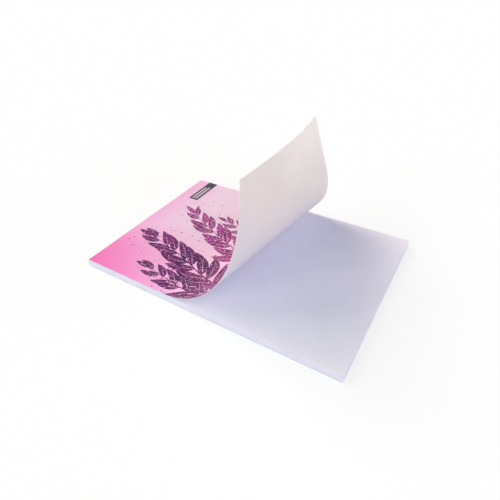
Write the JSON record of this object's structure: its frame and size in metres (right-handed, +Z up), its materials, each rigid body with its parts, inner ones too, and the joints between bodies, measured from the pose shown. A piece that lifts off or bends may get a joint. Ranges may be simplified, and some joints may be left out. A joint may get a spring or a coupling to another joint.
{
  "type": "writing pad",
  "caption": "Writing pad of blank sheets glued at the head on a stiff board, with a printed card cover curled up from the tail over the open page.",
  "frame": {"origin": "centre of the underside of the backing board, where the pad rests", "axes": "+Z up out of the page, +Y towards the glued head, -Y towards the free tail, +X towards the right long edge"},
  "size_m": [0.2181, 0.2974, 0.1537],
  "materials": {
    "cover_card": "smooth printed card, pink fading to pale mauve with dark plum leaf sprays, plain creamy white back",
    "page_paper": "plain uncoated white writing paper",
    "grey_board": "pale grey pressed board",
    "padding_glue": "thin dried white glue, slightly rubbery"
  },
  "bodies": {
    "root": {"cover": "cover_card", "page_block": "page_paper", "backing_board": "grey_board", "head_glue": "padding_glue"}
  },
  "joints": []
}
